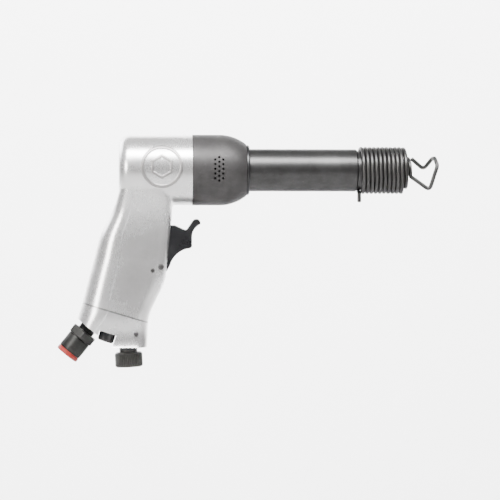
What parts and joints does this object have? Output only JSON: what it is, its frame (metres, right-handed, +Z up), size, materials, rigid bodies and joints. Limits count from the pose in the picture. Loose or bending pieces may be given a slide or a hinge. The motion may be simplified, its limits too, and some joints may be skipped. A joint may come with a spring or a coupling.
{
  "type": "pneumatic air hammer",
  "caption": "Pistol-grip pneumatic hammer: cast handle with trigger and power regulator, long barrel, swivelling exhaust deflector and screw-on wire tool retainer.",
  "frame": {"origin": "centre of the barrel's nose face, on the bore's axis", "axes": "+X forward along the barrel and out of the shank bore, +Z up, +Y to the tool's left"},
  "size_m": [0.2965, 0.055, 0.1811],
  "materials": {
    "cast_aluminium": "polished casting with a satin grain",
    "blued_steel": "blued, satin",
    "deflector_grey": "dark grey satin",
    "spring_wire": "oil-tempered wire, satin",
    "hardened_steel": "ground and hardened",
    "pin_steel": "dark rolled pin",
    "trigger_black": "black satin",
    "bushing_brass": "turned",
    "black_rubber": "moulded",
    "plug_black": "matt black",
    "inlet_steel": "phosphated steel",
    "red_plastic": "soft moulded plastic",
    "regulator_black": "black oxide, knurled"
  },
  "bodies": {
    "handle": {"handle_housing": "cast_aluminium", "barrel": "blued_steel", "valve_plate": "hardened_steel", "valve_case": "hardened_steel", "valve_gasket": "black_rubber", "valve_dowel": "hardened_steel", "deflector_ring": "blued_steel", "deflector_oring": "black_rubber", "trigger_pin": "pin_steel", "trigger_stop_pin": "pin_steel", "throttle_bushing": "bushing_brass", "plunger_oring": "black_rubber", "throttle_seat": "black_rubber", "throttle_spring": "spring_wire", "throttle_plug": "plug_black", "inlet_bushing": "inlet_steel", "inlet_screen": "bushing_brass", "regulator_pin": "pin_steel"},
    "piston": {"piston": "hardened_steel"},
    "distributing_valve": {"distributing_valve": "hardened_steel"},
    "exhaust_deflector": {"exhaust_deflector": "deflector_grey"},
    "retainer": {"retainer_spring": "spring_wire"},
    "trigger": {"trigger": "trigger_black"},
    "throttle_plunger": {"throttle_plunger": "hardened_steel"},
    "throttle_valve": {"throttle_valve": "bushing_brass"},
    "power_regulator": {"power_regulator": "regulator_black", "regulator_oring": "black_rubber"},
    "dust_cap": {"dust_cap": "red_plastic"}
  },
  "joints": [
    {"name": "trigger_pull", "type": "hinge", "parent": "handle", "child": "trigger", "pos_m": [-0.1778, 0, -0.0753], "axis": [0, -1, 0], "range_deg": [0, 8], "stiffness_Nm_per_rad": 1.2, "springref_deg": -11.46},
    {"name": "plunger_push", "type": "slide", "parent": "handle", "child": "throttle_plunger", "axis": [-1, 0, 0], "range_m": [0, 0.0025]},
    {"name": "throttle_tilt", "type": "hinge", "parent": "handle", "child": "throttle_valve", "pos_m": [-0.20133, 0, -0.0866], "axis": [0, -1, 0], "range_deg": [0, 5], "deforming": ["throttle_spring"]},
    {"name": "piston_stroke", "type": "slide", "parent": "handle", "child": "piston", "axis": [1, 0, 0], "range_m": [0, 0.089]},
    {"name": "distributing_valve_shift", "type": "slide", "parent": "handle", "child": "distributing_valve", "axis": [1, 0, 0], "range_m": [0, 0.0016]},
    {"name": "deflector_swivel", "type": "hinge", "parent": "handle", "child": "exhaust_deflector", "pos_m": [-0.13, 0, 0], "axis": [1, 0, 0], "continuous": true},
    {"name": "retainer_turn", "type": "hinge", "parent": "handle", "child": "retainer", "pos_m": [0, 0, 0], "axis": [1, 0, 0], "continuous": true},
    {"name": "regulator_turn", "type": "hinge", "parent": "handle", "child": "power_regulator", "pos_m": [-0.2033, 0, -0.1374], "axis": [-0.0506, 0, 0.9987], "range_deg": [-90, 90]},
    {"name": "dust_cap_pull", "type": "slide", "parent": "handle", "child": "dust_cap", "axis": [-0.6293, 0, -0.7771], "range_m": [0, 0.02]}
  ],
  "couplings": [
    {"joint": "plunger_push", "follows": "trigger_pull", "m_per_rad": 0.0173},
    {"joint": "throttle_tilt", "follows": "trigger_pull", "ratio": 0.6048}
  ]
}
